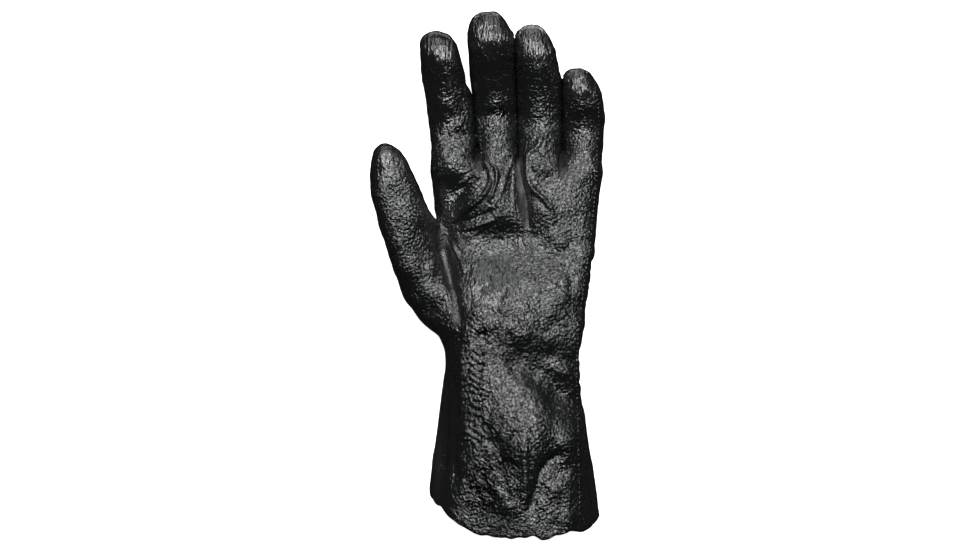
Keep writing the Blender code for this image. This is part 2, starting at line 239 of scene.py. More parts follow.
# %% [markdown]
# ## Folds
# The coat is stiff, so the palm doesn't crumple evenly: it buckles into a few ribs and valleys
# that run from the thumb's root to the fingers. Each row below is one of them: a smooth line
# through a few of the photo's pixels, its half width and its height, both in millimetres, and
# whether it ends in a sharp bottom or crest. The same sum of rows moves the outside and the
# inside, so the wall keeps its thickness.

# %% Table of folds
FOLDS = (
    # half width, height, sharp, points
    # thumb's root and the rib beside it
    (2.3, -3.6, 0, ((438, 238), (442, 248), (446, 262), (451, 285), (456, 308), (461, 328))),
    (0.7, 1.3, 0, ((451, 240), (455, 249), (459, 257), (463, 266), (464, 275))),
    # ribs of the palm's fan
    (0.6, 1.3, 0, ((458, 185), (468, 179), (477, 172))),
    (0.6, 0.9, 0, ((459, 174), (470, 170), (480, 164))),
    (1.0, 1.6, 0, ((460, 198), (471, 189), (480, 180))),
    (1.3, 2.6, 0, ((456, 219), (472, 206), (483, 195), (489, 187), (491, 176))),
    (1.1, 1.7, 0, ((486, 204), (492, 194), (496, 182), (496, 170), (490, 162))),
    (1.1, 1.4, 0, ((458, 231), (470, 228), (480, 225), (498, 219))),
    (0.8, 0.6, 0, ((515, 154), (508, 172), (503, 190), (493, 207))),
    (0.9, 0.6, 0, ((515, 168), (514, 190), (513, 215))),
    # valleys between them
    (0.8, -1.0, 1, ((457, 191), (470, 184), (480, 175))),
    (1.6, -2.0, 0, ((455, 212), (468, 202), (478, 194), (485, 183), (485, 172), (481, 163))),
    (0.8, -1.0, 1, ((483, 205), (491, 191), (494, 176))),
    (1.2, -1.2, 0, ((493, 197), (499, 184), (502, 174))),
    (1.4, -1.3, 0, ((458, 224), (480, 216), (497, 209))),
    # grooves below the fingers' forks
    (1.6, -1.6, 0, ((477, 150), (479, 163), (482, 171))),
    (3.0, -4.2, 1, ((518, 158), (520, 180), (524, 202), (530, 226))),
    (2.0, -2.2, 0, ((521, 190), (524, 210), (529, 230))),
    (1.6, -1.0, 0, ((561, 150), (562, 172), (566, 190))),
    # rim of the ring finger's pad
    (1.4, 2.2, 0, ((557, 125), (543, 136), (537, 147), (529, 155), (527, 166), (527, 177),
                   (531, 187), (537, 194), (545, 201), (552, 212), (550, 223))),
    (0.9, 0.7, 0, ((536, 197), (541, 191), (547, 195))),
    # creases across the heel
    (0.8, -1.2, 1, ((534, 257), (545, 256), (556, 253), (568, 251), (580, 254), (593, 258))),
    (0.9, 0.5, 0, ((545, 246), (560, 243), (575, 246), (588, 244))),
    # slant of the cuff, its sharp fold and its crest
    (8.0, -2.6, 0, ((498, 358), (526, 372), (552, 390), (582, 414))),
    (2.8, -1.8, 0, ((570, 450), (554, 457), (543, 470), (537, 487), (532, 505), (527, 517))),
    (0.8, -0.7, 1, ((568, 451), (553, 458), (542, 471), (536, 490))),
    (2.0, 1.9, 0, ((523, 426), (525, 455), (525, 478), (524, 505))),
    (0.8, 0.6, 0, ((489, 498), (498, 496), (506, 498), (514, 493))),
    (0.8, 0.5, 0, ((488, 507), (500, 510), (512, 507))),
    # back of the thumb's pad
    (6.5, 2.6, 0, ((374, 168), (384, 210), (402, 255), (434, 305))),
    # outer edge, along the seam
    (6.5, 3.4, 0, ((590, 150), (590, 200), (586, 250), (580, 300), (575, 350), (574, 400),
                   (576, 440), (577, 480), (577, 520))),
    # cuff's thumb-side edge, and its side beyond that
    (6.0, 4.0, 1, ((462, 330), (466, 380), (465, 440), (462, 490))),
    (3.5, -4.0, 0, ((446, 348), (444, 400), (443, 450), (440, 495))),
)
PUCKER_ROWS = range(346, 446, 7)
PUCKER_HALF_WIDTH = 0.9
PUCKER_HEIGHT = 0.6
PUCKER_SWAY = 3.0  # in photo pixels
SWAY_TURN = 1.7  # radians to a row
DRIFT_TURN = 0.9


def pucker(row):
    """One small wavy fold across the cuff's thumb-side edge. Each sways a little differently."""
    sway = PUCKER_SWAY * math.sin(SWAY_TURN * row)
    drift = PUCKER_SWAY * math.sin(DRIFT_TURN * row)
    points = ((465, row - sway), (473 + drift, row - 5), (481, row + 1 + sway), (489 + drift, row - 4))
    return (PUCKER_HALF_WIDTH, PUCKER_HEIGHT, 0, points)


FOLDS += tuple(pucker(row) for row in PUCKER_ROWS)
print(len(FOLDS), "folds,", len(PUCKER_ROWS), "of them puckers of the cuff")

# %% [markdown]
# ### From rows to heights
# Each row's points are joined by a smooth curve. How high a fold lifts the skin depends only on
# how far away its curve is, so a fold costs one distance for each point. Towards both ends of the
# curve the fold fades, as a real one runs out into the smooth coat.

# %% Fold heights
FOLD_SPREAD = 4  # half widths beyond which a fold is too low to count
FOLD_FADE = 0.22  # share of its length over which a fold fades at either end
FOLD_END = 0.15  # share of its height that is left at the very end


def smooth_line(points, steps=8):
    """Points along a Catmull-Rom curve through the given ones, steps of them between two."""
    ends = [2 * np.array(points[0]) - points[1], *map(np.array, points)]
    ends.append(2 * np.array(points[-1]) - points[-2])
    line = []
    for i in range(len(points) - 1):
        a, b, c, d = ends[i : i + 4]
        for step in range(steps):
            t = step / steps
            line.append(
                b + (c - a) * t / 2 + (2 * a - 5 * b + 4 * c - d) * t**2 / 2
                + (3 * b - a - 3 * c + d) * t**3 / 2
            )
    line.append(np.array(points[-1], float))
    return np.array(line)


def line_distance(pixels, line):
    """For each pixel, how far away the line is, and how far along it the nearest point lies."""
    nearest = np.full(len(pixels), np.inf)
    along = np.zeros(len(pixels))
    for i in range(len(line) - 1):
        start, run = line[i], line[i + 1] - line[i]
        share = np.clip((pixels - start) @ run / (run @ run), 0, 1)
        gap = np.linalg.norm(pixels - start - share[:, None] * run, axis=1)
        closer = gap < nearest
        nearest[closer] = gap[closer]
        along[closer] = (i + share[closer]) / (len(line) - 1)
    return nearest, along


def fold_heights(pixels):
    """How far the folds lift each pixel of the palm side, in metres."""
    total = np.zeros(len(pixels))
    for half_width, height, sharp, points in FOLDS:
        reach = half_width * MM / METRES_PER_PIXEL
        line = smooth_line(points)
        low, high = line.min(axis=0) - FOLD_SPREAD * reach, line.max(axis=0) + FOLD_SPREAD * reach
        near = np.all((pixels > low) & (pixels < high), axis=1)
        distance, along = line_distance(pixels[near], line)
        ratio = distance / reach
        profile = np.exp(-ratio) if sharp else np.exp(-(ratio**2))
        fade = np.clip(np.minimum(along, 1 - along) / FOLD_FADE, FOLD_END, 1)
        total[near] += height * MM * profile * fade
    return total


test_point = np.array([FOLDS[0][3][2]], float)
print("bottom of the fold at the thumb's root", round(fold_heights(test_point)[0] / MM, 2), "mm")

# %% [markdown]
# ## Broad swells
# Between the folds the coat bulges where the liner is slack and sinks where the hand form was
# hollow. These are soft mounds and dips, each given by a pixel, two radii in pixels and a height.

# %% Table of swells
SWELLS = (
    # across, down, radius across, radius down, height in millimetres
    (502, 208, 56, 18, 2.6),  # rim of the palm's hollow
    (508, 255, 74, 24, -4.8),  # hollow of the palm
    (452, 160, 20, 20, 1.6),  # below the index finger
    (454, 222, 18, 34, -3.3),
    (454, 207, 12, 14, -1.3),
    (548, 165, 18, 20, 1.0),  # pad below the ring finger
    (530, 362, 38, 24, -3.3),  # hollow of the wrist
    (568, 438, 14, 22, 6.5),  # rise of the cuff
    (530, 456, 30, 38, 4.6),  # bulge of the cuff
    (566, 500, 16, 30, 1.8),  # bulge beside the sharp fold
    (486, 548, 40, 56, -7.5),  # slack of the hem
)


def swell_heights(pixels):
    """How far the swells lift each pixel of the palm side, in metres."""
    total = np.zeros(len(pixels))
    for across, down, wide, tall, height in SWELLS:
        ratio = ((pixels[:, 0] - across) / wide) ** 2 + ((pixels[:, 1] - down) / tall) ** 2
        total += height * MM * np.exp(-ratio)
    return total


print(len(SWELLS), "swells")

# %% [markdown]
# ## The bend of each finger
# The glove keeps the shape of its hand form, so each finger sinks towards its middle joint, rises
# over the next bone and falls away over the pad. Each row gives heights at the photo's rows, from
# the fork to the tip.

# %% Finger profiles
GROOVES = ((478.5, 0.085), (518.5, 0.030), (562.5, 0.0))  # across at the fork, lean per row
FORK_ROW = 165
FINGERS_ACROSS = 412  # the thumb lies on the other side of it
PROFILE_END = 220  # row where the last finger profile has ended
PROFILE_ROWS = 260  # rows that a profile is worked out for
PROFILE_SMOOTHING = 7  # rows that are averaged
PALM_ROW = 225  # by this row the palm has taken over
PALM_BLEND = 40
FINGER_PROFILES = (
    # name, then (row, height in millimetres)
    ("index", (190, 0.0), (165, 0.4), (150, 0.2), (136, -1.2), (122, -0.2), (104, 0.9), (84, 1.3),
     (64, 1.7), (54, 0.5), (42, -1.6), (32, -3.4)),
    ("middle", (175, 0.0), (160, 0.4), (140, 0.2), (124, -0.8), (117, -2.6), (104, -0.6), (84, 0.4),
     (52, 1.4), (42, 0.2), (30, -1.8), (14, -4.2)),
    ("ring", (190, 0.0), (160, 0.6), (138, 0.2), (124, -1.1), (110, 0.0), (90, 0.7), (66, 1.3),
     (54, 0.2), (40, -1.9), (28, -3.9)),
    ("little", (215, 0.0), (175, 0.3), (142, 0.1), (131, -1.1), (118, 0.0), (104, 0.8), (94, 0.4),
     (82, -1.4), (70, -3.4)),
)


def finger_heights(pixels):
    """What the profile of the finger under each pixel adds."""
    across, down = pixels.T
    number = np.zeros(len(pixels), int)
    for fork, lean in GROOVES:
        number += across > fork - lean * np.maximum(FORK_ROW - down, 0)
    rows = np.arange(0, PROFILE_ROWS, 1.0)
    total = np.zeros(len(pixels))
    for index, (_, *profile) in enumerate(FINGER_PROFILES):
        stations, heights = zip(*reversed(profile))
        line = np.interp(rows, stations, heights)
        line = np.pad(line, PROFILE_SMOOTHING // 2, mode="edge")
        line = np.convolve(line, np.ones(PROFILE_SMOOTHING) / PROFILE_SMOOTHING, mode="valid")
        here = (number == index) & (down < PROFILE_END) & (across > FINGERS_ACROSS)
        total[here] = np.interp(down[here], rows, line) * MM
    blend = np.clip((PALM_ROW - down) / PALM_BLEND, 0, 1)
    return total * blend


print("profiles of", ", ".join(name for name, *_ in FINGER_PROFILES))

# %% [markdown]
# ## Calm, coarse, dull and streaked zones
# The coat isn't wrinkled alike all over. It lies smooth along the seams, on the fingers' middle
# bones and in the channel round the thumb, and over the fingertips and the heel its wrinkles are
# drawn out into streaks. It puckers most over the heel, the wrist and the roots of the fingers.
# Deep grooves have kept the dull skin of the mould, and the fingertips are a touch duller than
# the rest. Each zone is a few soft ellipses. The relief reads the calm and the coarse ones, and
# the material will read the calm, the dull and the streaked ones.

# %% Zones
ZONES = {
    # photo pixels: across, down, radius across, radius down, then the strength
    "calm": (
        (450, 264, 9, 36, 0.6), (446, 430, 17, 100, 0.9), (592, 450, 9, 100, 0.9),
        (521, 188, 6, 28, 1.0), (444, 92, 20, 34, 0.7), (492, 84, 22, 34, 0.7),
        (537, 92, 20, 32, 0.6), (584, 120, 14, 14, 0.5), (508, 233, 48, 17, 0.2),
        (455, 196, 16, 34, 0.8),
    ),
    "coarse": (
        (525, 312, 60, 22, 0.8), (505, 338, 60, 18, 0.8), (450, 128, 20, 26, 0.6),
        (542, 158, 12, 30, 0.7), (586, 168, 12, 26, 0.6), (575, 270, 24, 40, 1.0),
        (560, 362, 24, 30, 0.8), (492, 470, 34, 50, 0.8), (440, 290, 24, 30, 0.6),
        (566, 500, 18, 36, 0.5),
    ),
    "dull": (
        (442, 240, 6, 14, 0.8), (449, 264, 6, 26, 0.6), (456, 306, 6, 24, 0.6),
        (520, 172, 4, 20, 1.0), (525, 205, 6, 22, 1.0), (563, 165, 4, 14, 1.0),
        (479, 163, 4, 12, 1.0), (436, 450, 6, 66, 0.5), (598, 450, 6, 66, 0.5),
        (490, 30, 24, 24, 0.15), (437, 46, 20, 22, 0.15),
        (537, 42, 20, 22, 0.15), (583, 84, 18, 20, 0.15),
    ),
    "streaked": (
        (490, 34, 24, 20, 1.0), (437, 48, 20, 18, 1.0), (537, 44, 20, 18, 1.0),
        (583, 84, 18, 16, 1.0), (380, 166, 12, 20, 0.6), (495, 278, 26, 24, 1.0),
    ),
}
ZONE_END = 1.25  # share of its radii at which a zone has faded out
ZONE_BLEND = 0.5


def zone_strength(name, pixels):
    """From 0 to 1, how far each pixel lies in a zone."""
    strength = np.zeros(len(pixels))
    for across, down, wide, tall, most in ZONES[name]:
        ratio = np.hypot((pixels[:, 0] - across) / wide, (pixels[:, 1] - down) / tall)
        strength = np.maximum(strength, most * np.clip((ZONE_END - ratio) / ZONE_BLEND, 0, 1))
    return strength


print("zones", {name: len(ellipses) for name, ellipses in ZONES.items()})

# %% [markdown]
# ## Where the body lies
# An empty glove slouches a little off its hand form: the palm and the cuff lie about a millimetre
# further from the thumb, the wrist's bend and the little finger's side stand out, and three
# fingertips have sloping shoulders. One smooth shift below the knuckles moves the whole width, and
# each nudge moves a soft round patch sideways. Both sheets move alike, so the wall is kept.

# %% Body and nudges
BODY_SHIFT = 0.9 * MM
BODY_ROW = 190
BODY_BLEND = 50
NUDGES = (
    # photo pixel, reach in pixels, move across in millimetres
    ((434, 328), 16, -2.8),  # bend of the wrist
    ((604, 122), 24, 1.5),  # side of the little finger
    ((506, 16), 12, -1.1),  # shoulders of three fingertips
    ((551, 32), 13, -1.7),
    ((597, 75), 14, -2.5),
)


def points_and_normals(bm):
    """The points of a sheet and their normals, as two arrays."""
    bm.normal_update()
    points = np.array([vert.co for vert in bm.verts])
    normals = np.array([vert.normal for vert in bm.verts])
    return points, normals


def smooth_step(values):
    """0 below 0, 1 above 1, and an even curve between."""
    share = np.clip(values, 0, 1)
    return share * share * (3 - 2 * share)


def shift_body(bm):
    """Moves the hand's body and the cuff a little away from the thumb, and adds the nudges."""
    points, _ = points_and_normals(bm)
    pixels = photo_pixels(points)
    sideways = BODY_SHIFT * smooth_step((pixels[:, 1] - BODY_ROW) / BODY_BLEND)
    for place, reach, shift in NUDGES:
        ratio = np.linalg.norm(pixels - place, axis=1) / reach
        sideways += shift * MM * np.exp(-(ratio**2))
    for vert, share in zip(bm.verts, sideways):
        vert.co.x += share
    print("moved sideways by up to", round(np.abs(sideways).max() / MM, 2), "mm")


shift_body(outside)
shift_body(inside)

# %% [markdown]
# ## Closing the grooves
# Lying on the table, the fingers press on each other, and only a dark line is left between two
# neighbours. Row by row, the sides of each groove are drawn to its middle until they touch, and the
# draw fades out across the finger. The web below the fork follows. The inside does the same, and
# stops one wall short of the middle.

# %% Close the grooves
GROOVE_TOPS = (98, 40, 84)  # row from which two neighbouring fingers touch
TOP_BLEND = 14  # rows above it over which the closing sets in
FINGER_HALF = 20  # in photo pixels
WEB_ROW = 161  # above this row the fingers are apart
WEB_BLEND = 14
MOST_CLOSING = 6
ROW_STEP = 4
TOUCH = -0.3  # half the daylight between two fingers, in pixels: they press on each other


def finger_numbers(bm, down):
    """Which finger each point belongs to above the fork: 0 to 3 from the thumb side, else -1."""
    bm.verts.index_update()
    numbers = np.full(len(down), -1)
    unseen = {vert for vert in bm.verts if down[vert.index] < WEB_ROW}
    pieces = []
    while unseen:
        start = unseen.pop()
        piece, ends = [start], [start]
        while ends:
            for edge in ends.pop().link_edges:
                for other in edge.verts:
                    if other in unseen:
                        unseen.discard(other)
                        piece.append(other)
                        ends.append(other)
        pieces.append(piece)
    print("pieces above the web", sorted(map(len, pieces), reverse=True)[:7])
    pieces.sort(key=lambda piece: sum(vert.co.x for vert in piece) / len(piece))
    for number, piece in enumerate(pieces[-len(GROOVES) - 1 :]):
        numbers[[vert.index for vert in piece]] = number
    return numbers


def close_grooves(bm, touch):
    """Draws the sides of neighbouring fingers together until each is touch from the groove."""
    points, _ = points_and_normals(bm)
    across, down = photo_pixels(points).T
    numbers = finger_numbers(bm, down)
    shift = np.zeros(len(points))
    for groove_number, (fork, lean) in enumerate(GROOVES):
        groove = fork - lean * (FORK_ROW - down)
        top = GROOVE_TOPS[groove_number]
        strength = smooth_step((down - top) / TOP_BLEND + 1)
        web_gap = {}
        for finger, side in ((groove_number, -1), (groove_number + 1, 1)):
            beside = (across - groove) * side
            here = (numbers == finger) & (beside < FINGER_HALF)
            rows = (down[here] // ROW_STEP).astype(int)
            nearest = np.full(rows.max() + 1, np.inf)
            np.minimum.at(nearest, rows, beside[here])
            gap = np.clip(nearest[rows] - touch, -MOST_CLOSING, MOST_CLOSING)
            near_edge = smooth_step(1 - (beside[here] - nearest[rows]) / FINGER_HALF)
            shift[here] -= side * gap * near_edge * strength[here]
            web_gap[side] = (nearest[-1], np.clip(nearest[-1] - touch, 0, MOST_CLOSING))
        for side, (edge, gap) in web_gap.items():
            beside = (across - groove) * side
            here = (numbers < 0) & (beside > 0) & (beside < FINGER_HALF) & (down < WEB_ROW + WEB_BLEND)
            fade = 1 - (down[here] - WEB_ROW) / WEB_BLEND
            near_edge = smooth_step(1 - (beside[here] - edge) / FINGER_HALF)
            shift[here] -= side * np.minimum(gap * near_edge * fade, beside[here])
    to_metres = METRES_PER_PIXEL * (CAMERA_HEIGHT - points[:, 2]) / (CAMERA_HEIGHT - FOCUS_HEIGHT)
    print("grooves closed by up to", round(np.abs(shift).max() * METRES_PER_PIXEL / MM, 2), "mm")
    for vert, sideways in zip(bm.verts, shift * to_metres):
        vert.co.x += sideways


close_grooves(outside, TOUCH)
close_grooves(inside, TOUCH + WALL / METRES_PER_PIXEL)

# %% [markdown]
# ## Wrinkles
# PVC shrinks a little as it cures on the knit, and puckers into wrinkles a few millimetres long.
# Layered noise gives the larger ones as real relief, which the outline and the gloss pick up. The
# finest are left to the material's bump. The folds, the swells and the finger profiles are added
# in the same move, and the grooves are closed once more after it.

# %% Relief
WRINKLE_HEIGHT = 0.90 * MM
WRINKLE_LENGTH = 13.0 * MM
WRINKLE_LAYERS = (0.9, 2.1, 3)  # fall in strength and rise in fineness by layer, number of layers
CALMEST = 0.7  # share of the wrinkles that a calm place loses
COARSEST = 1.8  # share that a coarse place gains
BROAD_SLOPE = 0.8  # upright part of the normal from which swells and profiles act in full
FOLD_SLOPE = 0.5  # the same for the folds


def wrinkle_heights(points):
    """How far layered noise lifts each point, in metres."""
    heights = []
    for point in points:
        place = Vector(point) / WRINKLE_LENGTH
        heights.append(noise.fractal(place, *WRINKLE_LAYERS, noise_basis="PERLIN_NEW"))
    return np.array(heights) * WRINKLE_HEIGHT


def add_relief(bm, inward):
    """Moves a sheet by the folds, the swells and the wrinkles. inward is -1 for the inside."""
    points, normals = points_and_normals(bm)
    outwards = normals * inward
    pixels = photo_pixels(points)
    upright = outwards[:, 2]
    broad = (swell_heights(pixels) + finger_heights(pixels)) * smooth_step(upright / BROAD_SLOPE)
    share = 1 - CALMEST * zone_strength("calm", pixels) + COARSEST * zone_strength("coarse", pixels)
    wrinkles = wrinkle_heights(points) * share
    fine = fold_heights(pixels) * smooth_step(upright / FOLD_SLOPE) + wrinkles
    moved = points + outwards * fine[:, None]
    moved[:, 2] += broad
    floor = 0.0 if inward > 0 else WALL
    moved[:, 2] = np.maximum(moved[:, 2], floor)
    for vert, place in zip(bm.verts, moved):
        vert.co = place
    print("relief from", round(fine.min() / MM, 2), "to", round(fine.max() / MM, 2), "mm")


add_relief(outside, 1)
add_relief(inside, -1)
close_grooves(outside, TOUCH)

# %% [markdown]
# ## Keeping the wall
# The two sheets were moved one by one, so a deep fold can bring them too near each other. The
# inside hardly shows, so it is the one that gives way: wherever a corner or the middle of a face
# lies less than 1.1 mm within the outside, it is drawn back. A few rounds settle almost all.

# %% Keep the wall
THINNEST_WALL = 1.1 * MM
WALL_ROUNDS = 4
WALL_SEARCH = 4.0 * MM
SAME_WAY = 0.2  # least product of the two outward directions
STRAIGHT = 0.8  # least share of the gap that runs along the outside's normal


def nearest_wall(tree, place, outward):
    """The nearest point of the outside that faces the same way, with its normal, or None.
    Only a point straight above or below the place counts. Others lie on some other wall."""
    facing = [
        (gap, near, normal)
        for near, normal, _, gap in tree.find_nearest_range(place, WALL_SEARCH)
        if normal.dot(outward) > SAME_WAY and abs((near - place).dot(normal)) > STRAIGHT * gap
    ]
    return min(facing, key=lambda found: found[0], default=None)


def keep_wall(inner, outer):
    """Draws the inside back wherever a corner or the middle of a face comes too near the outside."""
    tree = BVHTree.FromBMesh(outer)
    for _ in range(WALL_ROUNDS):
        inner.normal_update()
        places = [(vert.co, -vert.normal, [vert]) for vert in inner.verts]
        places += [(face.calc_center_median(), -face.normal, face.verts) for face in inner.faces]
        moved = 0
        for place, outward, corners in places:
            found = nearest_wall(tree, place, outward)
            if found is None:
                continue
            _, near, normal = found
            lack = THINNEST_WALL - (near - place).dot(normal)
            if lack > 0:
                moved += 1
                for vert in corners:
                    vert.co -= normal * lack
        print("inside places drawn back", moved)


keep_wall(inside, outside)

# %% [markdown]
# ## The hem
# The coat ends in a rounded lip that waves a little, because the glove was dipped and trimmed
# soft. The wave fades out up the cuff. The lip itself is two narrow rings drawn inwards from the
# outside's edge, and a bridge from there to the inside closes the shell.

# %% Hem
HEM_WAVE = 2.2 * MM
HEM_WAVE_LENGTH = 20 * MM
HEM_WAVES = ((2.0, 1.0), (4.3, 0.5))  # how many to that length, then their strength
HEM_FADE = 9 * MM
HEM_BAND = 3 * HEM_FADE  # above it nothing of the wave is left
LIP_DROP = 0.5 * MM
LIP_RINGS = ((0.30, 1.0), (0.40, 0.0))  # share of the wall inwards, share of the drop


def hem_edges(bm):
    """The edges of a sheet's open border."""
    return [edge for edge in bm.edges if edge.is_boundary]


def wave_hem(bm):
    """Waves the hem along its own length, less and less up the cuff."""
    rim = [vert for vert in bm.verts if vert.is_boundary]
    rim_points = np.array([vert.co for vert in rim])
    band = [vert for vert in bm.verts if vert.co.y < rim_points[:, 1].max() + HEM_BAND]
    for vert in band:
        gaps = rim_points[:, [0, 2]] - np.array([vert.co.x, vert.co.z])
        height = vert.co.y - rim_points[np.argmin((gaps**2).sum(axis=1)), 1]
        place = Vector((vert.co.x, 0, vert.co.z)) / HEM_WAVE_LENGTH
        wave = sum(strength * noise.noise(place * number) for number, strength in HEM_WAVES)
        vert.co.y += HEM_WAVE * wave * math.exp(-max(height, 0) / HEM_FADE)


def add_lip(bm):
    """Two rings that round the outside's edge over towards the inside."""
    for inwards, drop in LIP_RINGS:
        rim = hem_edges(bm)
        normals = {vert: vert.normal.copy() for edge in rim for vert in edge.verts}
        grown = bmesh.ops.extrude_edge_only(bm, edges=rim)["geom"]
        for vert in (item for item in grown if isinstance(item, bmesh.types.BMVert)):
            source = min(normals, key=lambda old: (old.co - vert.co).length_squared)
            vert.co -= normals[source] * WALL * inwards
            vert.co.y -= LIP_DROP * drop
        bm.normal_update()


wave_hem(outside)
wave_hem(inside)
add_lip(outside)
print("hem", len(hem_edges(outside)), "edges outside,", len(hem_edges(inside)), "inside")

# %% [markdown]
# ## One closed shell
# The outside with its lip and the inside become one mesh, and a bridge spans the small gap that is
# left between them at the hem. The inside's faces take a second material, the lining. The skin
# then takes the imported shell's place.

# %% Close the shell
LINING = 1


def joined_shell(outer, inner):
    """One closed mesh from the two sheets. The inside's faces take the second material."""
    first = bpy.data.meshes.new("outer")
    outer.to_mesh(first)
    second = bpy.data.meshes.new("inner")
    for face in inner.faces:
        face.material_index = LINING
    inner.to_mesh(second)
    outer.free()
    inner.free()
    whole = bmesh.new()
    whole.from_mesh(first)
    whole.from_mesh(second)
    bmesh.ops.bridge_loops(whole, edges=hem_edges(whole))
    for face in whole.faces:
        face.smooth = True
    mesh = bpy.data.meshes.new("glove_skin")
    whole.to_mesh(mesh)
    open_edges = len(hem_edges(whole))
    whole.free()
    bpy.data.meshes.remove(first)
    bpy.data.meshes.remove(second)
    mesh.calc_loop_triangles()
    print("skin", len(mesh.loop_triangles), "triangles,", open_edges, "open edges")
    return mesh


skin = bpy.data.objects.new("glove_skin", joined_shell(outside, inside))
bpy.context.scene.collection.objects.link(skin)
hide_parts("glove_shell")
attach(skin, "root")

# %% [markdown]
# ## Zones for the material
# The material has to know where the coat is calm, dull or streaked. Each point of the skin keeps
# the strength of these three zones as an attribute, because a material can read that anywhere on
# the skin, with no picture.

# %% Mark the zones
MATERIAL_ZONES = ("calm", "dull", "streaked")


def mark_zones(mesh):
    """Writes the strength of each zone to the points of the skin."""
    pixels = photo_pixels(np.array([vert.co for vert in mesh.vertices]))
    for name in MATERIAL_ZONES:
        strength = zone_strength(name, pixels)
        attribute = mesh.attributes.new(name, "FLOAT", "POINT")
        attribute.data.foreach_set("value", strength.astype(np.float32))
        print(name, int((strength > 0.5).sum()), "points")


mark_zones(skin.data)

# %% [markdown]
# ## Stitches under the coat
# The liner is two knitted halves sewn together round the edge of the hand. The coat covers the
# seam, but each stitch still shows as a bump. Small flattened beads, half sunk in the skin, follow
# it in a long row down the outer edge from the little finger to the hem, and in two short rows at
# the fork beside the index finger. A ray from the camera finds the skin for each bead.

# %% Stitch rows
STITCH_PITCH = 2.4 * MM
SEAM_STEPS = 40  # places tried between two of the pixels below
STITCH_SIZE = (0.85 * MM, 1.05 * MM, 0.65 * MM)
SEAMS = (
    # photo pixels that each row passes through
    ((595, 92), (598, 104), (599, 125), (597, 150), (596, 185), (593, 215), (590, 245),
     (586, 270), (582, 300), (579, 330), (577, 360), (577, 385), (578, 420), (579, 470),
     (580, 512)),
    ((466, 128), (468, 140), (470, 152), (471, 160)),
    ((479, 120), (480, 135), (481, 150), (482, 160)),
)


def seen_point(tree, pixel):
    """Where the camera sees the skin at one pixel of the photo, and the skin's normal there."""
    eye = Vector((*CAMERA_OVER, CAMERA_HEIGHT))
    across = (pixel[0] - PHOTO_SIZE[0] / 2) * METRES_PER_PIXEL
    up = (PHOTO_SIZE[1] / 2 - pixel[1]) * METRES_PER_PIXEL
    ray = Vector((across, up, FOCUS_HEIGHT - CAMERA_HEIGHT)).normalized()
    place, normal, _, _ = tree.ray_cast(eye, ray)
    return place, normal


def add_stitches():
    """The beads of all seams as one piece."""
    tree = BVHTree.FromObject(skin, bpy.context.evaluated_depsgraph_get())
    bm = bmesh.new()
    count = 0
    for points in SEAMS:
        line = smooth_line(points, steps=SEAM_STEPS)
        places = [seen_point(tree, pixel) for pixel in line]
        places = [(place, normal) for place, normal in places if place is not None]
        last = None
        for (place, normal), (after, _) in zip(places, places[1:]):
            if last is not None and (place - last).length < STITCH_PITCH:
                continue
            last = place
            run = (after - place).normalized()
            side = normal.cross(run).normalized()
            made = bmesh.ops.create_icosphere(bm, subdivisions=1, radius=1)["verts"]
            for vert in made:
                x, y, z = (part * size for part, size in zip(vert.co, STITCH_SIZE))
                vert.co = place + side * x + run * y + normal * z
            count += 1
    for face in bm.faces:
        face.smooth = True
    mesh = bpy.data.meshes.new("seam_stitches")
    bm.to_mesh(mesh)
    bm.free()
    stitches = bpy.data.objects.new("seam_stitches", mesh)
    bpy.context.scene.collection.objects.link(stitches)
    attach(stitches, "root")
    print("stitches", count)
    return stitches


stitches = add_stitches()

# %% [markdown]
# ## Wet black PVC
# The coat is nearly pure black, and all its look comes from gloss: a clear, slightly blurred
# reflection broken up by tiny worm-like wrinkles. Two noise patterns, one ridged and one soft,
# feed a Bump node, and give way to long streaks in the streaked zones. A slower noise varies the
# roughness, as handled PVC does.

# %% Coat material
COAT_COLOUR = (0.0045, 0.0048, 0.0046, 1)
COAT_ROUGHNESS = (0.06, 0.11)
COAT_IOR = 1.54
WORMS = {"Scale": 360, "Detail": 2.0, "Roughness": 0.6, "Distortion": 0.8}
PEBBLES = {"Scale": 680, "Detail": 2.0, "Roughness": 0.5, "Distortion": 0.5}
STREAKS = {"Scale": 760, "Detail": 2.0, "Roughness": 0.6, "Distortion": 0.2}
STREAK_STRETCH = (1.0, 0.22, 0.22)
PATCHES = {"Scale": 60}
PATCH_RANGE = (0.35, 0.65)  # the part of the slow noise that is used
WORM_SHARE = 0.6
WORM_DEPTH = 1.1 * MM
CALM_BUMP = -0.65  # what a calm place adds to the bump's strength of 1
DULL_ROUGHNESS = 0.6  # what a dull place adds


def new_material(name):
    """A material, its node tree and its shader."""
    material = bpy.data.materials.new(name)
    material.use_nodes = True
    tree = material.node_tree
    return material, tree, tree.nodes["Principled BSDF"]


def add_node(tree, kind, **values):
    """A node, with values for its sockets and its settings."""
    node = tree.nodes.new(kind)
    for name, value in values.items():
        if name in node.inputs:
            node.inputs[name].default_value = value
        else:
            setattr(node, name, value)
    return node


def noise_height(tree, place, settings, **kind):
    """The height that one noise texture gives at a place."""
    texture = add_node(tree, "ShaderNodeTexNoise", **kind, **settings)
    tree.links.new(place, texture.inputs["Vector"])
    return texture.outputs["Fac"]


def math_node(tree, operation, *values):
    """The result of a Math node. Each value is a number or another node's result."""
    node = add_node(tree, "ShaderNodeMath", operation=operation)
    for socket, value in zip(node.inputs, values):
        if isinstance(value, bpy.types.NodeSocket):
            tree.links.new(value, socket)
        else:
            socket.default_value = value
    return node.outputs[0]


def zone(tree, name):
    """How strong one of the marked zones is here."""
    return add_node(tree, "ShaderNodeAttribute", attribute_name=name).outputs["Fac"]


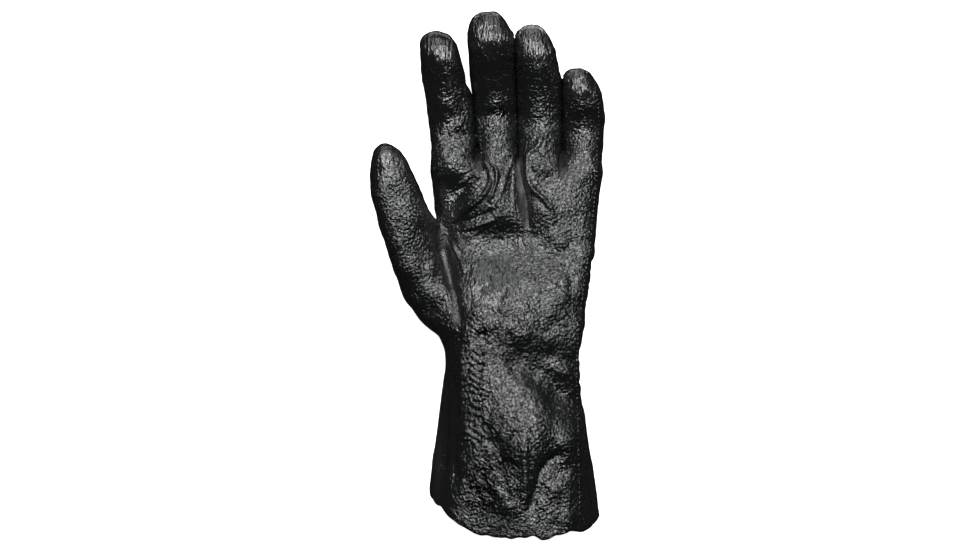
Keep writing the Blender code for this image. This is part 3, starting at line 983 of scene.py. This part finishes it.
def coat_height(tree, place):
    """What the bump reads: worms and pebbles, and streaks in their zones."""
    worms = noise_height(tree, place, WORMS, noise_type="RIDGED_MULTIFRACTAL")
    pebbles = noise_height(tree, place, PEBBLES)
    mixed = math_node(tree, "ADD", math_node(tree, "MULTIPLY", worms, WORM_SHARE), pebbles)
    stretch = add_node(tree, "ShaderNodeVectorMath", operation="MULTIPLY")
    stretch.inputs[1].default_value = STREAK_STRETCH
    tree.links.new(place, stretch.inputs[0])
    streaks = noise_height(tree, stretch.outputs[0], STREAKS)
    blend = add_node(tree, "ShaderNodeMix", data_type="FLOAT")
    tree.links.new(zone(tree, "streaked"), blend.inputs[0])
    tree.links.new(mixed, blend.inputs[2])
    tree.links.new(streaks, blend.inputs[3])
    return blend.outputs[0]


def coat_roughness(tree, place):
    """Slow patches between two values, and more in the dull zones."""
    spread = add_node(tree, "ShaderNodeMapRange")
    spread.inputs["From Min"].default_value, spread.inputs["From Max"].default_value = PATCH_RANGE
    spread.inputs["To Min"].default_value, spread.inputs["To Max"].default_value = COAT_ROUGHNESS
    tree.links.new(noise_height(tree, place, PATCHES), spread.inputs["Value"])
    patches = spread.outputs["Result"]
    return math_node(tree, "MULTIPLY_ADD", zone(tree, "dull"), DULL_ROUGHNESS, patches)


def coat_material():
    material, tree, shader = new_material("wet_black_pvc")
    link = tree.links.new
    place = add_node(tree, "ShaderNodeTexCoord").outputs["Object"]
    bump = add_node(tree, "ShaderNodeBump", Distance=WORM_DEPTH)
    link(math_node(tree, "MULTIPLY_ADD", zone(tree, "calm"), CALM_BUMP, 1.0), bump.inputs["Strength"])
    link(coat_height(tree, place), bump.inputs["Height"])
    link(bump.outputs["Normal"], shader.inputs["Normal"])
    link(coat_roughness(tree, place), shader.inputs["Roughness"])
    shader.inputs["Base Color"].default_value = COAT_COLOUR
    shader.inputs["IOR"].default_value = COAT_IOR
    return material


coat = coat_material()
print("coat of", len(coat.node_tree.nodes), "nodes")

# %% [markdown]
# ## The knitted inside
# Inside, the liner is plain natural cotton. It is matt, pale and slightly ribbed, and a fine wave
# pattern along the glove with a little noise is enough at the depth where it can be seen.

# %% Lining material
LINING_COLOURS = ((0.50, 0.47, 0.41, 1), (0.68, 0.65, 0.58, 1))
LINING_ROUGHNESS = 0.9
RIB_PITCH = 1.6 * MM
RIB_DEPTH = 0.3 * MM
RIB_WOBBLE = 1.5
WAVE_REPEAT = 0.314  # a Wave texture of scale 1 repeats after so many metres


def lining_material():
    material, tree, shader = new_material("cotton_knit_inside")
    link = tree.links.new
    place = add_node(tree, "ShaderNodeTexCoord").outputs["Object"]
    ribs = add_node(tree, "ShaderNodeTexWave", bands_direction="X", Distortion=RIB_WOBBLE)
    ribs.inputs["Scale"].default_value = WAVE_REPEAT / RIB_PITCH
    link(place, ribs.inputs["Vector"])
    colours = add_node(tree, "ShaderNodeMix", data_type="RGBA")
    colours.inputs[6].default_value, colours.inputs[7].default_value = LINING_COLOURS
    link(ribs.outputs["Fac"], colours.inputs[0])
    link(colours.outputs[2], shader.inputs["Base Color"])
    bump = add_node(tree, "ShaderNodeBump", Distance=RIB_DEPTH)
    link(ribs.outputs["Fac"], bump.inputs["Height"])
    link(bump.outputs["Normal"], shader.inputs["Normal"])
    shader.inputs["Roughness"].default_value = LINING_ROUGHNESS
    return material


skin.data.materials.append(coat)
skin.data.materials.append(lining_material())
stitches.data.materials.append(coat)
print("materials", [material.name for material in skin.data.materials])

# %% [markdown]
# ## Floor and light
# The photo's ground is plain white. Two softboxes stand beyond the fingertips. The high one lights
# the gentle slopes that face the fingertips, the low one adds a dimmer shine to the steep ones, and
# every slope that faces another way stays black.

# %% Studio
FLOOR_SIZE = 6.0
FLOOR_COLOUR = (0.86, 0.86, 0.86, 1)
FLOOR_ROUGHNESS = 0.9
FLOOR_GLOW = 1.0
ROOM_COLOUR = (0.012, 0.012, 0.012, 1)
SOFTBOX_AIM = (0, 0, 0.03)
HIGH_SOFTBOX = {"place": (0.05, 0.73, 1.34), "size": (1.2, 0.92), "power": 50}
LOW_SOFTBOX = {"place": (0.05, 1.39, 0.59), "size": (1.2, 1.2), "power": 15}


def floor_material():
    material, _, shader = new_material("white_floor")
    shader.inputs["Base Color"].default_value = FLOOR_COLOUR
    shader.inputs["Roughness"].default_value = FLOOR_ROUGHNESS
    shader.inputs["Emission Color"].default_value = (1, 1, 1, 1)
    shader.inputs["Emission Strength"].default_value = FLOOR_GLOW
    return material


def add_floor():
    bm = bmesh.new()
    bmesh.ops.create_grid(bm, x_segments=1, y_segments=1, size=FLOOR_SIZE / 2)
    mesh = bpy.data.meshes.new("floor")
    bm.to_mesh(mesh)
    bm.free()
    mesh.materials.append(floor_material())
    floor = bpy.data.objects.new("floor", mesh)
    bpy.context.scene.collection.objects.link(floor)
    floor.visible_glossy = False


def add_light(name, settings):
    data = bpy.data.lights.new(name, "AREA")
    data.shape = "RECTANGLE"
    data.size, data.size_y = settings["size"]
    data.energy = settings["power"]
    light = bpy.data.objects.new(name, data)
    light.location = settings["place"]
    aim = Vector(SOFTBOX_AIM) - light.location
    light.rotation_euler = aim.to_track_quat("-Z", "Y").to_euler()
    bpy.context.scene.collection.objects.link(light)


add_floor()
add_light("high_softbox", HIGH_SOFTBOX)
add_light("low_softbox", LOW_SOFTBOX)
world = bpy.data.worlds.new("studio")
world.use_nodes = True
world.node_tree.nodes["Background"].inputs["Color"].default_value = ROOM_COLOUR
bpy.context.scene.world = world
bpy.context.scene.view_settings.view_transform = "Standard"
